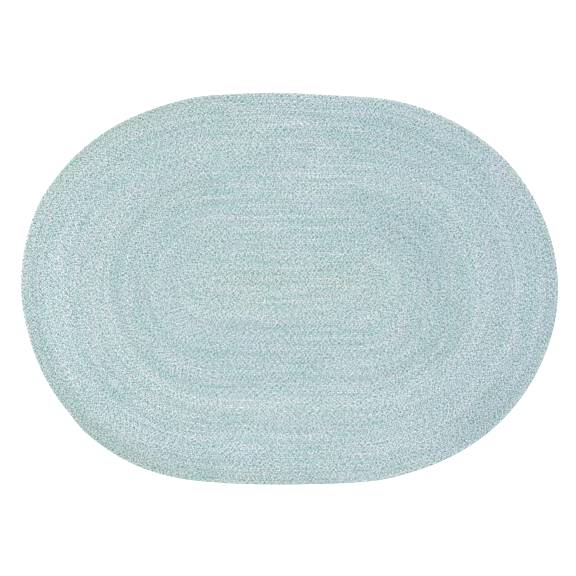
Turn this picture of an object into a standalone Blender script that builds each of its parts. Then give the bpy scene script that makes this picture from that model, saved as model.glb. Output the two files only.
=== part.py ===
"""Oval braided rug, lying flat.

One flat braid makes the whole rug. It starts as a straight centre braid and is wound clockwise,
seen from above, in a flat spiral around it, each row laced to the one before. The rows stand up as
rounded ridges, the underside is flat, and the braid's outer end is tapered and sewn down.

Metres, +Z up. The rug lies on Z = 0, its length is along X, and its origin is the middle of its box.
"""

import math

import bmesh
import bpy
from mathutils import Vector

# Driving dimensions, of the even oval that the rim keeps to
RUG_LENGTH = 3.358
RUG_WIDTH = 2.450
ROUNDS = 53
THICKNESS = 0.010
GROOVE_DEPTH = 0.003
RIM_HEIGHT = 0.005
RIM_UNDERCUT = 0.003

# The braid's outer end: degrees walked around the left end, and the share of its width it keeps
TAIL_TAPER_FROM = 25.0
TAIL_TIP_AT = 43.0
TAIL_END_AT = 50.0
TAIL_TIP_WIDTH = 0.65

# Steps along each straight run and around each end
RUN_STEPS = 5
END_STEPS = 18

# Linear colour of the mixed yarn, and its finish
YARN_COLOUR = (0.485, 0.610, 0.631, 1.0)
YARN_ROUGHNESS = 0.9

# One lap of the braid goes clockwise over these four legs
LEGS = ("left end", "top run", "right end", "bottom run")

# How far the hand-laced rim stands out (+) or is drawn in (-) against an even oval.
# Columns: leg, how far along the leg (0 to 1), metres at the rim
RIM_PULLS = (
    ("left end", 0.04, -0.020),
    ("left end", 0.18, -0.010),
    ("left end", 0.29, -0.002),
    ("left end", 0.41, -0.002),
    ("left end", 0.48, 0.006),
    ("left end", 0.64, 0.011),
    ("left end", 0.70, -0.003),
    ("left end", 0.89, -0.034),
    ("top run", 0.00, -0.017),
    ("top run", 0.25, -0.005),
    ("top run", 0.45, -0.002),
    ("top run", 0.70, -0.013),
    ("top run", 0.95, -0.025),
    ("right end", 0.13, -0.037),
    ("right end", 0.28, -0.020),
    ("right end", 0.50, -0.002),
    ("right end", 0.70, -0.023),
    ("right end", 0.90, -0.041),
    ("bottom run", 0.00, -0.020),
    ("bottom run", 0.20, -0.009),
    ("bottom run", 0.60, -0.003),
    ("bottom run", 0.95, -0.012),
)

BRAID_WIDTH = RUG_WIDTH / (2 * ROUNDS)
CENTRE_HALF = (RUG_LENGTH - RUG_WIDTH) / 2
MERGE_DISTANCE = 0.00002


def clear_scene():
    for item in list(bpy.data.objects):
        bpy.data.objects.remove(item, do_unlink=True)


def make_material(name, colour, roughness):
    material = bpy.data.materials.new(name)
    material.use_nodes = True
    shader = material.node_tree.nodes["Principled BSDF"]
    shader.inputs["Base Color"].default_value = colour
    shader.inputs["Roughness"].default_value = roughness
    shader.inputs["Metallic"].default_value = 0.0
    return material


def rim_pull(leg, part):
    """The rim's own unevenness at a place, smooth from each row of RIM_PULLS to the next."""
    places = [LEGS.index(row[0]) + row[1] for row in RIM_PULLS]
    pulls = [row[2] for row in RIM_PULLS]
    count = len(places)
    here = leg + part
    after = sum(place <= here for place in places)
    knots = [after - 2, after - 1, after, after + 1]
    x = [places[k % count] + 4 * (k // count) for k in knots]
    y = [pulls[k % count] for k in knots]
    slope_in = (y[2] - y[0]) / (x[2] - x[0])
    slope_out = (y[3] - y[1]) / (x[3] - x[1])
    span = x[2] - x[1]
    u = (here - x[1]) / span
    return (
        (1 + 2 * u) * (1 - u) ** 2 * y[1]
        + u * (1 - u) ** 2 * span * slope_in
        + u * u * (3 - 2 * u) * y[2]
        + u * u * (u - 1) * span * slope_out
    )


def braid_point(lap, leg, part, offset):
    """A point beside the braid's middle line: offset is outward, and part runs along the leg."""
    lead = (part - 0.5, 0.5, 0.5, 0.5)[leg] * BRAID_WIDTH
    reach = lap * BRAID_WIDTH + lead + offset
    offset += rim_pull(leg, part) * (reach / (RUG_WIDTH / 2)) ** 2
    along = CENTRE_HALF * (2 * part - 1)
    radius = lap * BRAID_WIDTH + offset
    if leg == 0:
        angle = math.radians(-90 - 180 * part)
        return Vector((-CENTRE_HALF + radius * math.cos(angle), radius * math.sin(angle), 0))
    if leg == 1:
        return Vector((along, radius, 0))
    radius += BRAID_WIDTH / 2
    if leg == 2:
        angle = math.radians(90 - 180 * part)
        x = CENTRE_HALF + radius * math.cos(angle)
        return Vector((x, -BRAID_WIDTH / 2 + radius * math.sin(angle), 0))
    return Vector((-along, -BRAID_WIDTH / 2 - radius, 0))


def width_share(lap, leg, part):
    """1 along the braid, falling to 0 over its tapered outer end."""
    if (lap, leg) != (ROUNDS, 0):
        return 1.0
    turned = 180 * part
    if turned <= TAIL_TAPER_FROM:
        return 1.0
    if turned <= TAIL_TIP_AT:
        tapered = (turned - TAIL_TAPER_FROM) / (TAIL_TIP_AT - TAIL_TAPER_FROM)
        return 1 + tapered * (TAIL_TIP_WIDTH - 1)
    return TAIL_TIP_WIDTH * max(0.0, (TAIL_END_AT - turned) / (TAIL_END_AT - TAIL_TIP_AT))


def stations():
    """Each step along the braid, from the start's rounded end to the tail, as lap, leg and part."""
    steps = (END_STEPS, RUN_STEPS, END_STEPS, RUN_STEPS)
    for lap in range(ROUNDS):
        for leg, count in enumerate(steps):
            for step in range(count):
                yield lap, leg, step / count
    for step in range(round(TAIL_END_AT / 180 * END_STEPS) + 1):
        yield ROUNDS, 0, step / END_STEPS


def cross_section(station):
    """The braid's inner edge, crest and outer edge at a station, each as its place and height."""
    lap, leg, part = station
    width = BRAID_WIDTH * width_share(lap, leg, part)
    if (lap, leg) == (0, 0):
        middle = braid_point(lap, leg, part, 0)
        return (
            (middle, THICKNESS),
            (middle, THICKNESS),
            (braid_point(lap, leg, part, width / 2), THICKNESS - GROOVE_DEPTH),
        )
    inner = -BRAID_WIDTH / 2
    return (
        (braid_point(lap, leg, part, inner), THICKNESS - GROOVE_DEPTH),
        (braid_point(lap, leg, part, inner + width / 2), THICKNESS),
        (braid_point(lap, leg, part, inner + width), THICKNESS - GROOVE_DEPTH),
    )


def wind_braid(rug):
    """Lays a long strip along the spiral and joins each lap to the last, as the lacing does."""
    sections = [cross_section(station) for station in stations()]
    steps = len(sections) - 1
    height = rug.verts.layers.float.new("height")
    grid = bmesh.ops.create_grid(rug, x_segments=steps, y_segments=2, size=1)
    for vert in grid["verts"]:
        step = round((vert.co.x + 1) / 2 * steps)
        place, vert_height = sections[step][round(vert.co.y + 1)]
        vert.co = place
        vert[height] = vert_height
    bmesh.ops.remove_doubles(rug, verts=rug.verts, dist=MERGE_DISTANCE)
    for vert in rug.verts:
        vert.co.z = RIM_HEIGHT if vert.is_boundary else vert[height]


def inward(point):
    """The level direction from a point at the rim towards the centre braid."""
    centre = Vector((max(-CENTRE_HALF, min(CENTRE_HALF, point.x)), -BRAID_WIDTH / 2, point.z))
    return (centre - point).normalized()


def close_underside(rug):
    rim = [edge for edge in rug.edges if edge.is_boundary]
    skirt = bmesh.ops.extrude_edge_only(rug, edges=rim)["geom"]
    for vert in skirt:
        if isinstance(vert, bmesh.types.BMVert):
            vert.co += inward(vert.co) * RIM_UNDERCUT
            vert.co.z = 0
    hem = [edge for edge in skirt if isinstance(edge, bmesh.types.BMEdge) and edge.is_boundary]
    bmesh.ops.holes_fill(rug, edges=hem)
    bmesh.ops.recalc_face_normals(rug, faces=rug.faces)


def centre_on_origin(rug):
    xs = [vert.co.x for vert in rug.verts]
    ys = [vert.co.y for vert in rug.verts]
    middle = Vector(((min(xs) + max(xs)) / 2, (min(ys) + max(ys)) / 2, 0))
    bmesh.ops.translate(rug, verts=rug.verts, vec=-middle)


def make_rug(collection):
    rug = bmesh.new()
    wind_braid(rug)
    close_underside(rug)
    centre_on_origin(rug)
    mesh = bpy.data.meshes.new("rug")
    rug.to_mesh(mesh)
    rug.free()
    mesh.shade_smooth()
    mesh.set_sharp_from_angle(angle=math.radians(50))
    mesh.materials.append(make_material("braided_yarn", YARN_COLOUR, YARN_ROUGHNESS))
    item = bpy.data.objects.new("rug", mesh)
    collection.objects.link(item)
    return item


def main():
    clear_scene()
    collection = bpy.data.collections.new("braided_rug")
    bpy.context.scene.collection.children.link(collection)
    make_rug(collection)


main()
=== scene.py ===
"""Looks for an oval braided rug: every row of the braid with its strands, the underside and the stage.

The rug is one flat three-strand braid, wound clockwise around a straight centre braid. The face is
made strand by strand, in five pieces of whole rounds, and the underside is one piece of plain rows.
Metres, +Z up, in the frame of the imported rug.
"""

import math

import bmesh
import bpy
import numpy as np
from bpy.props import FloatProperty, FloatVectorProperty, IntProperty, PointerProperty
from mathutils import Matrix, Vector


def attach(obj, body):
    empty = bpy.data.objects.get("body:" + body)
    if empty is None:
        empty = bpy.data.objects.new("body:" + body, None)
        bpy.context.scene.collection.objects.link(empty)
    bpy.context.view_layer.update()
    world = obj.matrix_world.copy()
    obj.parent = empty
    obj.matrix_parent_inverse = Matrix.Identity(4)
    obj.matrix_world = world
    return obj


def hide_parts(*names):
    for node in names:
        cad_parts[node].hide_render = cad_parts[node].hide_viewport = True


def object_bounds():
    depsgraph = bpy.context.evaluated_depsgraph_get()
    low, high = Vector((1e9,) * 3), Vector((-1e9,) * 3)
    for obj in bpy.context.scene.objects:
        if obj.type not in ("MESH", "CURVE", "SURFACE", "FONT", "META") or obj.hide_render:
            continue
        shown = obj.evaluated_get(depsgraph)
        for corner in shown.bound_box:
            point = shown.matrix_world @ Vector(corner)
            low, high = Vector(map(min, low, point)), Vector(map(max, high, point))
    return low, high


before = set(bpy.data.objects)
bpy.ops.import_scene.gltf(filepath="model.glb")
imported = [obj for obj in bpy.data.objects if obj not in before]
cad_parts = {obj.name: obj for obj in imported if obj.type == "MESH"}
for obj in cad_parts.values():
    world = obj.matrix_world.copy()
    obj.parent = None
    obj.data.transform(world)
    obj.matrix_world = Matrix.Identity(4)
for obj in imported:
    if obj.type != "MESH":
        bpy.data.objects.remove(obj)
CAD_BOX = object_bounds()

bl_info = {
    "name": "Braided Rug",
    "version": (1, 0, 0),
    "blender": (4, 5, 0),
    "location": "View3D > Sidebar > Braided Rug",
    "description": "Builds an oval braided rug, row by row, with its floor, lights and camera",
    "category": "Add Mesh",
}

# The even oval, the braid's outer end and the hand-laced rim, as in the solid rug
RUG_LENGTH = 3.358
RUG_WIDTH = 2.450
ROUNDS = 53
THICKNESS = 0.010
RUN_STEPS = 5
END_STEPS = 18
TAIL_TAPER_FROM = 25.0
TAIL_TIP_AT = 43.0
TAIL_END_AT = 50.0
TAIL_TIP_WIDTH = 0.65
BRAID_WIDTH = RUG_WIDTH / (2 * ROUNDS)
CENTRE_HALF = (RUG_LENGTH - RUG_WIDTH) / 2

LEGS = ("left end", "top run", "right end", "bottom run")

# Columns: leg, how far along the leg (0 to 1), metres that the rim stands out (+) or is drawn in
RIM_PULLS = (
    ("left end", 0.04, -0.020),
    ("left end", 0.18, -0.010),
    ("left end", 0.29, -0.002),
    ("left end", 0.41, -0.002),
    ("left end", 0.48, 0.006),
    ("left end", 0.64, 0.011),
    ("left end", 0.70, -0.003),
    ("left end", 0.89, -0.034),
    ("top run", 0.00, -0.017),
    ("top run", 0.25, -0.005),
    ("top run", 0.45, -0.002),
    ("top run", 0.70, -0.013),
    ("top run", 0.95, -0.025),
    ("right end", 0.13, -0.037),
    ("right end", 0.28, -0.020),
    ("right end", 0.50, -0.002),
    ("right end", 0.70, -0.023),
    ("right end", 0.90, -0.041),
    ("bottom run", 0.00, -0.020),
    ("bottom run", 0.20, -0.009),
    ("bottom run", 0.60, -0.003),
    ("bottom run", 0.95, -0.012),
)

# A strand shows as one lobe each time it comes up, three on each side of the braid in a repeat
LOBE_PITCH = 0.0168
LOBE_STEPS = 4
# A strand's width, and how much of its length shows from the braid's middle to its edge
STRAND_WIDTH = 0.0118
STRAND_LENGTH = 0.016

# Lines of points along the braid, from its middle to its edge. Columns: distance from the middle
# (1 is half the braid's width), how many lobes the line runs ahead, how far its crests lie below
# the rug's top (metres), and how much deeper it dips between two strands
FACE_LINES = (
    (0.00, 0.00, 0.0020, 0.0010),
    (0.36, 0.20, 0.0000, 0.0030),
    (0.70, 0.42, 0.0002, 0.0035),
    (1.00, 0.66, 0.0024, 0.0022),
)
# The same for the outer flank of the last round, from its shoulder down to the floor
FLANK_LINES = (
    (1.04, 0.80, 0.0046, 0.0012),
    (0.99, 0.90, 0.0076, 0.0004),
    (0.80, 0.90, 0.0094, 0.0000),
)
# The same for the underside, from the floor up
BACK_LINES = (
    (0.00, 0.00, 0.0000, 0.0000),
    (1.00, 0.66, 0.0036, 0.0000),
)
# Share of the dip at each step across a lobe, from one crease to the next
DIP_AT_STEP = (1.0, 0.30, 0.0, 0.18)
# How far the middle line swings from side to side and the edge bulges, in half braid widths
CENTRE_ZIGZAG = 0.13
EDGE_SCALLOP = 0.07
# Share of its thickness that the braid keeps where it narrows to nothing
END_THICKNESS = 0.35
# Lobes counted before the braid's start, for the lines that run ahead of its middle
START_LOBES = 2
# Points closer than this, in metres, are one
JOIN_DISTANCE = 0.00002

# Rounds in each piece of the face
FACE_PIECES = ((0, 19), (19, 30), (30, 39), (39, 46), (46, ROUNDS))

# Each lobe shows two yarns side by side, so a repeat has six on each side of the braid. How far
# these differ for good, how much a yarn keeps of its tone from one repeat to the next, and how
# much it is set off against the yarns before and after it and the one on the braid's other side
REPEAT_YARNS = 6
YARN_STEPS = LOBE_STEPS // 2
YARN_SPREAD = 0.45
YARN_MEMORY = 0.5
NEXT_CONTRAST = 0.2
SIDE_CONTRAST = 0.28
# The darkest and the palest tone
TONE_LIMITS = (-3.2, 1.7)
# Share of its tone that a yarn loses where it dives, at the braid's middle and edge
TONE_LOSS = 0.9
# How the whole braid's dye drifts along it. Columns: over what length (metres), and how far
# paler, warmer and greener, in DYE_STEPS
BRAID_DRIFTS = (
    (0.12, 0.32, 0.32, -0.27),
    (0.12, 0.00, 0.12, 0.08),
    (0.80, 0.26, 0.08, 0.00),
)
DRIFT_LIMITS = (-2.2, 1.3)
# How far single lobes differ in dye, in the same steps, and in height, in metres
LOBE_DRIFT = (0.0, 0.06, 0.08)
LOBE_HEIGHT_SPREAD = 0.0003
LOBE_HEIGHT_LIMITS = (-1.8, 1.8)
SEED = 11

# Where the yarn is paler or darker, warmer or greener. Columns: row from the middle and how many
# rows it spreads to each side, place round the lap (0 lower left, 1 upper left, 2 upper right, 3
# lower right) and its spread, and how many steps of DYE_STEPS paler, warmer and greener the yarn is
SHADES = (
    # The middle, a little olive
    (0, 6, 1.5, 4.0, -0.2, 0.4, 0.1),
    (14, 3, 1.05, 0.3, -0.3, -0.1, 0.2),
    (20, 8, 3.6, 0.5, -0.1, -0.2, 0.0),
    # Dark teal arcs inside the right end and at the upper and lower left
    (20, 7, 2.35, 0.4, -1.0, -0.5, 0.0),
    (29, 3, 2.65, 0.1, -0.7, -0.1, 0.0),
    (27, 4, 0.9, 0.15, -0.5, -0.1, 0.2),
    (25, 3, 0.35, 0.3, -0.3, -0.1, 0.1),
    # The pale rows two thirds of the way out
    (32, 2, 3.85, 0.6, 0.8, 0.4, -0.2),
    (34, 3, 0.55, 0.25, 0.3, 0.2, -0.1),
    (33, 3, 1.75, 0.2, 0.4, 0.1, -0.1),
    (33, 2, 2.4, 0.4, 0.6, 0.2, -0.2),
    # Pale and dark places in the outer rows
    (44, 5, 0.45, 0.2, 0.8, 0.0, -0.1),
    (45, 3, 1.3, 0.25, 0.2, 0.2, -0.1),
    (45, 5, 2.1, 0.15, -0.3, -0.1, 0.1),
    (42, 12, 2.4, 0.6, -0.3, -0.3, -0.2),
    (44, 4, 2.85, 0.15, 0.4, 0.3, -0.1),
    (43, 4, 3.8, 0.3, 0.5, 0.0, -0.3),
    (48, 6, 2.75, 0.1, -0.9, -0.1, 0.0),
    # The rim, darker and more olive on the left and below
    (50, 6, 1.0, 0.3, -0.4, 0.2, 0.2),
    (52, 3, 0.75, 0.15, -0.2, 0.4, 0.2),
    (52, 4, 0.2, 0.2, -1.0, 0.4, 0.3),
    (53, 3, 3.6, 0.6, -0.6, 0.3, 0.1),
    (53, 2, 2.5, 0.3, -0.6, 0.1, 0.0),
)

# How many times more red, green and blue yarn sends back when it is one step paler, warmer, greener
DYE_STEPS = ((1.129, 1.116, 1.114), (1.062, 1.0, 0.947), (0.960, 1.076, 0.965))

# Painted shade: what the yarn's colour is multiplied by deep between two strands, in the creases and
# where they dive
PAINTED_SHADE_TINT = (0.25, 0.34, 0.34, 1)

# Stage sizes, in metres, and the way to the lamp
FLOOR_HALF = 60.0
LAMP_FROM = (-0.35, 0.45, 1.0)

# The picture's side and the rug's edges in it, in pixels
PHOTO_SIDE = 576
PHOTO_RUG_LEFT = 21
PHOTO_RUG_RIGHT = 558
PHOTO_RUG_TOP = 92
PHOTO_RUG_BOTTOM = 485


# The braid's route


def rim_pull(leg, part):
    """The rim's own unevenness at places along a lap, smooth from each row of RIM_PULLS on."""
    places = np.array([LEGS.index(row[0]) + row[1] for row in RIM_PULLS])
    pulls = np.array([row[2] for row in RIM_PULLS])
    count = len(places)
    here = (leg + part) % len(LEGS)
    after = np.searchsorted(places, here, side="right")
    x, y = [], []
    for knot in (after - 2, after - 1, after, after + 1):
        x.append(places[knot % count] + len(LEGS) * (knot // count))
        y.append(pulls[knot % count])
    slope_in = (y[2] - y[0]) / (x[2] - x[0])
    slope_out = (y[3] - y[1]) / (x[3] - x[1])
    span = x[2] - x[1]
    u = (here - x[1]) / span
    return (
        (1 + 2 * u) * (1 - u) ** 2 * y[1]
        + u * (1 - u) ** 2 * span * slope_in
        + u * u * (3 - 2 * u) * y[2]
        + u * u * (u - 1) * span * slope_out
    )


def width_share(lap, leg, part):
    """1 along the braid, falling to 0 over its tapered outer end."""
    turned = 180 * part
    share = np.interp(
        turned, (TAIL_TAPER_FROM, TAIL_TIP_AT, TAIL_END_AT), (1.0, TAIL_TIP_WIDTH, 0.0)
    )
    return np.where((lap == ROUNDS) & (leg == 0), share, 1.0)


def lap_points(lap, leg, part, offset):
    """Level places beside the braid's middle line, as x and y. offset is outward."""
    lead = np.where(leg == 0, part - 0.5, 0.5) * BRAID_WIDTH
    reach = lap * BRAID_WIDTH + lead + offset
    radius = lap * BRAID_WIDTH + offset + rim_pull(leg, part) * (2 * reach / RUG_WIDTH) ** 2
    along = CENTRE_HALF * (2 * part - 1)
    half = BRAID_WIDTH / 2
    left = np.radians(-90 - 180 * part)
    right = np.radians(90 - 180 * part)
    x = np.choose(
        leg,
        (
            -CENTRE_HALF + radius * np.cos(left),
            along,
            CENTRE_HALF + (radius + half) * np.cos(right),
            -along,
        ),
    )
    y = np.choose(
        leg,
        (radius * np.sin(left), radius, (radius + half) * np.sin(right) - half, -radius - 2 * half),
    )
    return x, y


def leg_lengths():
    laps = np.arange(ROUNDS + 1)
    lengths = np.empty((ROUNDS + 1, len(LEGS)))
    lengths[:, 0] = math.pi * laps * BRAID_WIDTH
    lengths[:, 2] = math.pi * (laps + 0.5) * BRAID_WIDTH
    lengths[:, (1, 3)] = 2 * CENTRE_HALF
    return lengths.ravel()


LEG_LENGTHS = leg_lengths()
LEG_STARTS = np.concatenate(([0.0], np.cumsum(LEG_LENGTHS)))


def lap_start(lap):
    """Metres of braid from its start to the lower left, where a lap begins."""
    return LEG_STARTS[len(LEGS) * lap]


TAIL_END = lap_start(ROUNDS) + LEG_LENGTHS[len(LEGS) * ROUNDS] * TAIL_END_AT / 180


def rug_middle():
    """The middle of the solid rug's rim, which is the frame's origin."""
    steps = (END_STEPS, RUN_STEPS, END_STEPS, RUN_STEPS)
    last_lap = [(ROUNDS - 1, leg, step / n) for leg, n in enumerate(steps) for step in range(n)]
    tail_steps = round(TAIL_END_AT / 180 * END_STEPS)
    tail = [(ROUNDS, 0, step / END_STEPS) for step in range(tail_steps)]
    lap, leg, part = (np.array(column) for column in zip(*last_lap[tail_steps:], *tail))
    share = width_share(lap, leg, part)
    x, y = lap_points(lap, leg, part, BRAID_WIDTH * (share - 0.5))
    return (x.min() + x.max()) / 2, (y.min() + y.max()) / 2


MIDDLE = rug_middle()


def route(travel, across):
    """Level places at metres of travel along the braid, and across it from -1, inside, to 1."""
    index = np.clip(np.searchsorted(LEG_STARTS, travel, side="right") - 1, 1, len(LEG_LENGTHS) - 1)
    part = (travel - LEG_STARTS[index]) / LEG_LENGTHS[index]
    lap, leg = index // len(LEGS), index % len(LEGS)
    share = width_share(lap, leg, part)
    start = np.clip(1 + travel / (BRAID_WIDTH / 2), 0, 1)
    rounded = np.sqrt(1 - (1 - start) ** 2)
    offset = BRAID_WIDTH / 2 * (across * share * rounded - (1 - share))
    x, y = lap_points(lap, leg, part, offset)
    return x - MIDDLE[0], y - MIDDLE[1], share * rounded


# The strands


def yarn_tones(random, lobes):
    """How pale each yarn is that comes up, on the inner and the outer side of the braid."""
    own = YARN_SPREAD * random.normal(size=(REPEAT_YARNS, 2))
    drift = random.normal(size=(math.ceil(lobes / REPEAT_YARNS), REPEAT_YARNS, 2))
    for repeat in range(1, len(drift)):
        drift[repeat] *= math.sqrt(1 - YARN_MEMORY**2)
        drift[repeat] += YARN_MEMORY * drift[repeat - 1]
    tones = (own - own.mean(axis=0) + drift).reshape(-1, 2)
    beside = np.roll(tones, 1, axis=0) + np.roll(tones, -1, axis=0)
    tones -= NEXT_CONTRAST * beside + SIDE_CONTRAST * tones[:, ::-1]
    return tones.clip(*TONE_LIMITS)


def shade_at(row, place):
    """How many steps paler, warmer and greener the yarn is at rows and places round the lap."""
    steps = np.zeros((len(row), 3))
    half_lap = len(LEGS) / 2
    for middle, rows, around, spread, *more in SHADES:
        apart = (place - around + half_lap) % len(LEGS) - half_lap
        weight = np.exp(-(((row - middle) / rows) ** 2) - (apart / spread) ** 2)
        steps += weight[:, None] * more
    return steps


def braid_places(travel):
    """The row and the place round the lap at metres of travel along the braid."""
    index = np.clip(np.searchsorted(LEG_STARTS, travel, side="right") - 1, 1, len(LEG_LENGTHS) - 1)
    part = (travel - LEG_STARTS[index]) / LEG_LENGTHS[index]
    place = index % len(LEGS) + part
    return index // len(LEGS) + place / len(LEGS), place


def lobe_table():
    """Each lobe's dye and height, and the tones of its yarns."""
    spare = 8
    lobes = int((TAIL_END + BRAID_WIDTH) / LOBE_PITCH) * 2 + spare
    travel = np.clip(np.arange(lobes) / 2 * LOBE_PITCH, 0, TAIL_END)
    random = np.random.default_rng(SEED)
    tones = yarn_tones(random, lobes)
    steps = shade_at(*braid_places(travel)) + LOBE_DRIFT * random.normal(size=(lobes, 3))
    for length, *more in BRAID_DRIFTS:
        knots = np.arange(0, TAIL_END + length, length)
        at_knots = random.normal(size=len(knots)).clip(*DRIFT_LIMITS)
        steps += np.outer(np.interp(travel, knots, at_knots), more)
    height = LOBE_HEIGHT_SPREAD * random.normal(size=lobes).clip(*LOBE_HEIGHT_LIMITS)
    return np.exp(steps @ np.log(DYE_STEPS)), tones, height


LOBE_DYES, YARN_TONES, LOBE_HEIGHTS = lobe_table()


def lobes_at(step, side):
    """Which lobe a step lies in on one side of the braid. The two sides take turns."""
    inner = 2 * (step // LOBE_STEPS)
    outer = 2 * ((step + LOBE_STEPS // 2) // LOBE_STEPS) - 1
    return np.where(side < 0, inner, outer).clip(0, len(LOBE_HEIGHTS) - 1)


def line_points(line, side, step):
    """The points of one line along the braid's face, with where they lie along and across it."""
    across, lead, drop, dip = line
    travel = (step / LOBE_STEPS + lead) * LOBE_PITCH - BRAID_WIDTH / 2
    travel = np.clip(travel, -BRAID_WIDTH / 2, TAIL_END)
    turn = math.pi / 2 * step
    if side:
        phase = (step + (LOBE_STEPS // 2 if side > 0 else 0)) % LOBE_STEPS
        dip_share = np.array(DIP_AT_STEP)[phase]
        scallop = EDGE_SCALLOP * (across >= 0.98) * -np.cos(math.pi / 2 * phase)
        where = side * across * (1 + scallop)
        lift = LOBE_HEIGHTS[lobes_at(step, side)] * (1 - dip_share)
    else:
        dip_share = np.where(step % 2, DIP_AT_STEP[1], 1.0)
        where = -CENTRE_ZIGZAG * np.cos(turn)
        lift = 0
    x, y, share = route(travel, where)
    z = THICKNESS - drop - dip * dip_share + lift
    middle = THICKNESS / 2
    z = middle + (z - middle) * (END_THICKNESS + (1 - END_THICKNESS) * np.sqrt(share))
    return np.stack((x, y, z), axis=-1), travel


def grid_faces(rows, columns):
    """Four corners a face over a grid of points, counted row by row, facing up."""
    corner = np.arange(rows - 1)[:, None] * columns + np.arange(columns - 1)[None, :]
    faces = np.stack((corner, corner + columns, corner + columns + 1, corner + 1), axis=-1)
    return faces.reshape(-1, 4)


def sided(lines, flank=()):
    """The lines from the braid's inner edge to its outer edge, each with its side."""
    inner = [(-1, line) for line in reversed(lines[1:])]
    return inner + [(0, lines[0])] + [(1, line) for line in (*lines[1:], *flank)]


class Patch:
    """A run of the braid's surface: its points, its faces and what the materials read there."""

    def __init__(self, steps, lines):
        places = [line_points(line, side, steps) for side, line in lines]
        sides = np.array([side for side, _ in lines])
        reach = np.array([side * line[0] for side, line in lines])
        self.points = np.stack([points for points, _ in places], axis=1)
        self.travel = np.stack([travel for _, travel in places], axis=1)
        self.faces = grid_faces(len(steps), len(lines))
        self.length = (steps[-1] - steps[0]) / LOBE_STEPS * LOBE_PITCH
        columns = len(lines) - 1
        face_side = np.tile(np.where(sides[:-1] < 0, -1, 1), len(steps) - 1)
        self.face_step = np.repeat(steps[:-1], columns)
        self.dye = LOBE_DYES[lobes_at(self.face_step, face_side)]
        yarn = self.face_step // YARN_STEPS % len(YARN_TONES)
        self.tone = YARN_TONES[yarn, (face_side + 1) // 2]
        shape = (len(steps), len(lines))
        along = np.broadcast_to(reach * STRAND_LENGTH, shape)
        over = np.broadcast_to(steps[:, None] / LOBE_STEPS * STRAND_WIDTH, shape)
        self.strand = np.stack((along, over), axis=-1).reshape(-1, 2)[self.faces]
        self.strand[face_side > 0, :, 1] += STRAND_WIDTH / 2
        self.across = np.broadcast_to(np.linspace(0.02, 0.98, len(lines)), shape)


def folded_map(patches):
    """Corner places in a square that holds the braid cut into rows and stacked, for baking."""
    length = sum(patch.length for patch in patches)
    count = math.ceil(math.sqrt(length / BRAID_WIDTH))
    row_length = length / count
    count += len(patches)
    margin = 1.5 * LOBE_PITCH
    corners, first_row = [], 0
    for patch in patches:
        start = patch.face_step[0]
        travelled = (patch.face_step - start) / LOBE_STEPS * LOBE_PITCH
        row = np.floor(travelled / row_length)[:, None]
        nominal = start / LOBE_STEPS * LOBE_PITCH - BRAID_WIDTH / 2
        along = patch.travel.ravel()[patch.faces] - nominal - row * row_length
        u = (along + margin) / (row_length + 2 * margin)
        v = (first_row + row + patch.across.ravel()[patch.faces]) / count
        corners.append(np.stack((u, v), axis=-1).reshape(-1, 2))
        first_row += int(row.max()) + 1
    return np.concatenate(corners)


def braid_mesh(name, patches, under=False):
    """One mesh of several patches, with its maps, the dye of each lobe and the tone of each yarn."""
    points, faces, start = [], [], 0
    for patch in patches:
        flat = patch.points.reshape(-1, 3)
        points.append(flat)
        faces.append(patch.faces + start)
        start += len(flat)
    points, faces = np.concatenate(points), np.concatenate(faces)
    strand = np.concatenate([patch.strand for patch in patches]).reshape(-1, 2)
    folded = folded_map(patches)
    if under:
        points[:, 2] = np.maximum(THICKNESS - points[:, 2], 0)
        faces = faces[:, ::-1]
        strand = strand.reshape(-1, 4, 2)[:, ::-1].reshape(-1, 2)
        folded = folded.reshape(-1, 4, 2)[:, ::-1].reshape(-1, 2)
    mesh = bpy.data.meshes.new(name)
    mesh.from_pydata(points, [], faces)
    for map_name, corners in (("OFBake", folded), ("strand", strand)):
        layer = mesh.uv_layers.new(name=map_name)
        layer.uv.foreach_set("vector", corners.astype(np.float32).ravel())
    dye = np.concatenate([patch.dye for patch in patches]).astype(np.float32)
    mesh.attributes.new("dye", "FLOAT_VECTOR", "FACE").data.foreach_set("vector", dye.ravel())
    tone = np.concatenate([patch.tone for patch in patches]).astype(np.float32)
    mesh.attributes.new("tone", "FLOAT", "FACE").data.foreach_set("value", tone)
    join_touching(mesh)
    mesh.shade_smooth()
    return mesh


def join_touching(mesh):
    """Joins the points that lie on each other, at the braid's two ends and along its flank."""
    joined = bmesh.new()
    joined.from_mesh(mesh)
    bmesh.ops.remove_doubles(joined, verts=joined.verts, dist=JOIN_DISTANCE)
    joined.to_mesh(mesh)
    joined.free()


def step_at(travel):
    """The first crease at or after metres of travel along the braid's middle."""
    return math.ceil((travel + BRAID_WIDTH / 2) / LOBE_PITCH) * LOBE_STEPS


# Materials


class Value:
    """A shader socket in a formula: each operator adds the Math node that it stands for."""

    def __init__(self, tree, socket):
        self.tree = tree
        self.socket = socket

    def math(self, operation, *inputs):
        return self.tree.add("ShaderNodeMath", {"operation": operation}, dict(enumerate(inputs)))

    def __add__(self, other):
        return self.math("ADD", self, other)

    def __sub__(self, other):
        return self.math("SUBTRACT", self, other)

    def __rsub__(self, other):
        return self.math("SUBTRACT", other, self)

    def __mul__(self, other):
        return self.math("MULTIPLY", self, other)

    def __truediv__(self, other):
        return self.math("DIVIDE", self, other)

    __radd__ = __add__
    __rmul__ = __mul__

    def clamped(self):
        return self.tree.add("ShaderNodeClamp", {}, {"Value": self})

    def sine(self):
        return self.math("SINE", self)

    def cosine(self):
        return self.math("COSINE", self)


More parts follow.
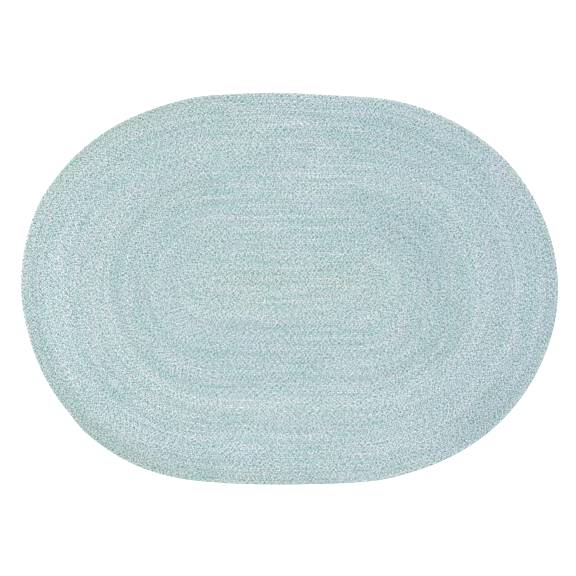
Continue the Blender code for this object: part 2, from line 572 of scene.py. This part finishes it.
class Tree:
    """A material's nodes. add() takes a node's type, its settings and its sockets' inputs."""

    def __init__(self, name):
        self.material = bpy.data.materials.new(name)
        self.material.use_nodes = True
        self.nodes = self.material.node_tree.nodes
        self.links = self.material.node_tree.links
        self.shader = self.nodes["Principled BSDF"]

    def add(self, kind, settings=None, inputs=None, output=0):
        node = self.nodes.new(kind)
        for name, setting in (settings or {}).items():
            setattr(node, name, setting)
        for name, value in (inputs or {}).items():
            self.feed(node.inputs[name], value)
        return Value(self, node.outputs[output])

    def feed(self, socket, value):
        if isinstance(value, Value):
            self.links.new(value.socket, socket)
        else:
            socket.default_value = value

    def set_shader(self, **inputs):
        for name, value in inputs.items():
            self.feed(self.shader.inputs[name.replace("_", " ")], value)

    def attribute(self, name, output):
        return self.add("ShaderNodeAttribute", {"attribute_name": name}, output=output)

    def mix(self, factor, first, second, blend="MIX"):
        settings = {"data_type": "RGBA", "blend_type": blend, "clamp_result": True}
        inputs = {"Factor": factor, 6: first, 7: second}
        return self.add("ShaderNodeMix", settings, inputs, output=2)

    def vector(self, x=0.0, y=0.0, z=0.0):
        return self.add("ShaderNodeCombineXYZ", {}, {"X": x, "Y": y, "Z": z})

    def parts(self, vector):
        return [self.add("ShaderNodeSeparateXYZ", {}, {0: vector}, output=axis) for axis in range(3)]


def yarn_material(looks):
    """Tweed yarns laid along each strand, each in its own tone and in the dye of its lobe, with painted
    shade in the creases and where strands dive.
    """
    tree = Tree("tweed_yarn")
    along, over, _ = tree.parts(tree.add("ShaderNodeUVMap", {"uv_map": "strand"}))
    yarn_place = tree.vector(along / looks.fleck_length, over / looks.fleck_width)
    fleck = tree.add(
        "ShaderNodeTexNoise",
        {"noise_dimensions": "2D"},
        {"Vector": yarn_place, "Scale": 1.0, "Detail": 0.0},
        output="Fac",
    )
    beside = (over * (2 * math.pi / STRAND_WIDTH)).cosine() * 0.5 + 0.5
    beyond = (along * (2 * math.pi / STRAND_LENGTH)).cosine() * 0.5 + 0.5
    tone = tree.attribute("tone", "Fac") * (1 - beyond * TONE_LOSS) * looks.yarn_contrast
    fleck_tone = (fleck - 0.5) * looks.fleck_contrast + tone
    dark_part = tree.mix((fleck_tone + 1).clamped(), (*looks.deep_yarn, 1), (*looks.aqua_yarn, 1))
    colour = tree.mix(fleck_tone.clamped(), dark_part, (*looks.pale_yarn, 1))
    # Painted shade: the yarn's colour is darkened in the creases between lobes and where strands dive
    painted_shade = 1 - (1 - beside * beside * looks.crease_painted_shade) * (1 - beyond * beyond * looks.dive_painted_shade)
    colour = tree.mix(painted_shade, colour, PAINTED_SHADE_TINT, blend="MULTIPLY")
    colour = tree.mix(1.0, colour, tree.attribute("dye", "Color"), blend="MULTIPLY")
    ridges = (over * (2 * math.pi / looks.yarn_width)).sine()
    fuzz = tree.add(
        "ShaderNodeTexNoise",
        {"noise_dimensions": "2D"},
        {"Vector": yarn_place, "Scale": 2.5, "Detail": 3.0},
        output="Fac",
    )
    bump = tree.add(
        "ShaderNodeBump",
        {},
        {"Height": ridges * 0.35 + fuzz, "Strength": looks.yarn_bump, "Distance": looks.yarn_depth},
    )
    tree.set_shader(Base_Color=colour, Roughness=0.97 - fleck * 0.12, Normal=bump)
    tree.set_shader(Sheen_Weight=looks.sheen, Sheen_Roughness=0.5, Specular_IOR_Level=0.2)
    return tree.material


def floor_material(looks):
    """A plain matt floor."""
    tree = Tree("pale_floor")
    colour = (*looks.floor_colour, 1)
    tree.set_shader(Base_Color=colour, Roughness=0.9, Specular_IOR_Level=0.1)
    return tree.material


def yarn():
    looks = bpy.context.scene.rug_looks
    return bpy.data.materials.get("tweed_yarn") or yarn_material(looks)


# Settings, operators and panel


class RugLooks(bpy.types.PropertyGroup):
    """Colours and yarn sizes."""

    pale_yarn: FloatVectorProperty(
        name="Pale yarn", description="Lightest yarn", subtype="COLOR", default=(0.732, 0.855, 0.880)
    )
    aqua_yarn: FloatVectorProperty(
        name="Aqua yarn", description="Main yarn", subtype="COLOR", default=(0.479, 0.594, 0.616)
    )
    deep_yarn: FloatVectorProperty(
        name="Deep yarn", description="Darkest yarn", subtype="COLOR", default=(0.102, 0.182, 0.176)
    )
    fleck_contrast: FloatProperty(
        name="Fleck contrast", description="How much neighbouring flecks differ", default=3.8
    )
    fleck_length: FloatProperty(
        name="Fleck length", description="Length of one fleck", unit="LENGTH", default=0.005
    )
    fleck_width: FloatProperty(
        name="Fleck width", description="Width of one fleck", unit="LENGTH", default=0.0045
    )
    yarn_contrast: FloatProperty(
        name="Yarn contrast", description="How much neighbouring yarns differ", default=0.51
    )
    # Painted shade in the creases between two lobes
    crease_painted_shade: FloatProperty(
        name="Crease darkness", description="How dark the yarn is between two lobes", default=0.15
    )
    # Painted shade where the strands dive
    dive_painted_shade: FloatProperty(
        name="Gap darkness", description="How dark the yarn is where strands dive", default=0.28
    )
    yarn_width: FloatProperty(
        name="Yarn width", description="Width of one yarn", unit="LENGTH", default=0.0018
    )
    yarn_bump: FloatProperty(
        name="Yarn relief", description="Strength of the yarns' relief", default=0.7
    )
    yarn_depth: FloatProperty(
        name="Yarn depth", description="Depth between two yarns", unit="LENGTH", default=0.0006
    )
    sheen: FloatProperty(name="Sheen", description="Fuzz that catches light", default=0.15)
    floor_colour: FloatVectorProperty(
        name="Floor", description="Floor colour", subtype="COLOR", default=(0.95, 0.95, 0.95)
    )


class RugStage(bpy.types.PropertyGroup):
    """Light and view."""

    sky_strength: FloatProperty(
        name="Sky", description="Strength of the even light from all round", default=0.8
    )
    lamp_strength: FloatProperty(
        name="Lamp", description="Strength of the soft lamp above", default=2.1
    )
    lamp_spread: FloatProperty(
        name="Lamp spread", description="Width of the lamp", subtype="ANGLE", default=0.6
    )
    lens: FloatProperty(name="Lens", description="Focal length in millimetres", default=100.0)


class RUG_OT_rounds(bpy.types.Operator):
    """Braid some whole rounds of the rug's face, strand by strand"""

    bl_idname = "rug.rounds"
    bl_label = "Rounds"

    first: IntProperty(name="First round", description="Round to start with", default=0)
    last: IntProperty(name="Last round", description="Round to end before", default=ROUNDS)

    def execute(self, context):
        end = step_at(TAIL_END) if self.last == ROUNDS else step_at(lap_start(self.last))
        start = step_at(lap_start(self.first)) if self.first else -START_LOBES * LOBE_STEPS
        patches = [Patch(np.arange(start, end + 1), sided(FACE_LINES))]
        if self.last == ROUNDS:
            patches.append(self.flank(end))
        name = f"rounds_{self.first + 1:02d}_to_{self.last:02d}"
        piece = bpy.data.objects.new(name, braid_mesh(name, patches))
        context.scene.collection.objects.link(piece)
        piece.data.materials.append(yarn())
        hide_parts("rug")
        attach(piece, "root")
        return {"FINISHED"}

    def flank(self, end):
        """The outer side of the last round, from where the tapered tail ends to that tail."""
        turn = LEG_LENGTHS[len(LEGS) * (ROUNDS - 1)] * TAIL_END_AT / 180
        overlap = 2 * LOBE_STEPS
        start = step_at(lap_start(ROUNDS - 1) + turn) - overlap
        edge = [(1, line) for line in (FACE_LINES[-1], *FLANK_LINES)]
        return Patch(np.arange(start, end + 1), edge)


class RUG_OT_underside(bpy.types.Operator):
    """Lay the rug's underside, row by row"""

    bl_idname = "rug.underside"
    bl_label = "Underside"

    def execute(self, context):
        steps = np.arange(-START_LOBES * LOBE_STEPS, step_at(TAIL_END) + 1, LOBE_STEPS)
        patch = Patch(steps, sided(BACK_LINES))
        piece = bpy.data.objects.new("underside", braid_mesh("underside", [patch], under=True))
        context.scene.collection.objects.link(piece)
        piece.data.materials.append(yarn())
        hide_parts("rug")
        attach(piece, "root")
        return {"FINISHED"}


class RUG_OT_stage(bpy.types.Operator):
    """Set the pale floor, the soft light and the camera above the rug"""

    bl_idname = "rug.stage"
    bl_label = "Stage"

    def execute(self, context):
        stage = context.scene.rug_stage
        self.lay_floor(context)
        self.light(context, stage)
        self.place_camera(context, stage)
        context.scene.view_settings.view_transform = "Standard"
        return {"FINISHED"}

    def lay_floor(self, context):
        grid = bmesh.new()
        bmesh.ops.create_grid(grid, x_segments=1, y_segments=1, size=FLOOR_HALF)
        mesh = bpy.data.meshes.new("floor")
        grid.to_mesh(mesh)
        grid.free()
        mesh.materials.append(floor_material(context.scene.rug_looks))
        floor = bpy.data.objects.new("floor", mesh)
        context.scene.collection.objects.link(floor)

    def light(self, context, stage):
        world = bpy.data.worlds.new("soft_room")
        world.use_nodes = True
        sky = world.node_tree.nodes["Background"]
        sky.inputs["Color"].default_value = (1, 1, 1, 1)
        sky.inputs["Strength"].default_value = stage.sky_strength
        context.scene.world = world
        lamp = bpy.data.lights.new("lamp", "SUN")
        lamp.energy = stage.lamp_strength
        lamp.angle = stage.lamp_spread
        holder = bpy.data.objects.new("lamp", lamp)
        holder.rotation_mode = "QUATERNION"
        holder.rotation_quaternion = (-Vector(LAMP_FROM)).to_track_quat("-Z", "Y")
        context.scene.collection.objects.link(holder)

    def place_camera(self, context, stage):
        lens = bpy.data.cameras.new("camera")
        lens.lens = stage.lens
        camera = bpy.data.objects.new("camera", lens)
        box = CAD_BOX
        per_pixel = (box[1].x - box[0].x) / (PHOTO_RUG_RIGHT - PHOTO_RUG_LEFT)
        view_width = per_pixel * PHOTO_SIDE
        middle_x = (PHOTO_RUG_LEFT + PHOTO_RUG_RIGHT) / 2 - PHOTO_SIDE / 2
        middle_y = (PHOTO_RUG_TOP + PHOTO_RUG_BOTTOM) / 2 - PHOTO_SIDE / 2
        distance = view_width * stage.lens / lens.sensor_width
        centre = (box[0] + box[1]) / 2
        camera.location = (
            centre.x - middle_x * per_pixel,
            centre.y + middle_y * per_pixel,
            THICKNESS + distance,
        )
        context.scene.collection.objects.link(camera)
        context.scene.camera = camera


class RUG_PT_panel(bpy.types.Panel):
    """The rug's pieces and settings"""

    bl_idname = "RUG_PT_panel"
    bl_label = "Braided Rug"
    bl_space_type = "VIEW_3D"
    bl_region_type = "UI"
    bl_category = "Braided Rug"

    def draw(self, context):
        column = self.layout.column()
        for operator in OPERATORS:
            column.operator(operator.bl_idname)
        for group in (context.scene.rug_looks, context.scene.rug_stage):
            for name in group.bl_rna.properties.keys():
                if name not in {"rna_type", "name"}:
                    column.prop(group, name)


OPERATORS = (RUG_OT_rounds, RUG_OT_underside, RUG_OT_stage)
CLASSES = (RugLooks, RugStage, *OPERATORS, RUG_PT_panel)


def register():
    for item in CLASSES:
        bpy.utils.register_class(item)
    bpy.types.Scene.rug_looks = PointerProperty(type=RugLooks)
    bpy.types.Scene.rug_stage = PointerProperty(type=RugStage)


def unregister():
    del bpy.types.Scene.rug_stage
    del bpy.types.Scene.rug_looks
    for item in reversed(CLASSES):
        bpy.utils.unregister_class(item)


def main():
    register()
    for first, last in FACE_PIECES:
        bpy.ops.rug.rounds(first=first, last=last)
    bpy.ops.rug.underside()
    bpy.ops.rug.stage()


if __name__ == "__main__":
    main()
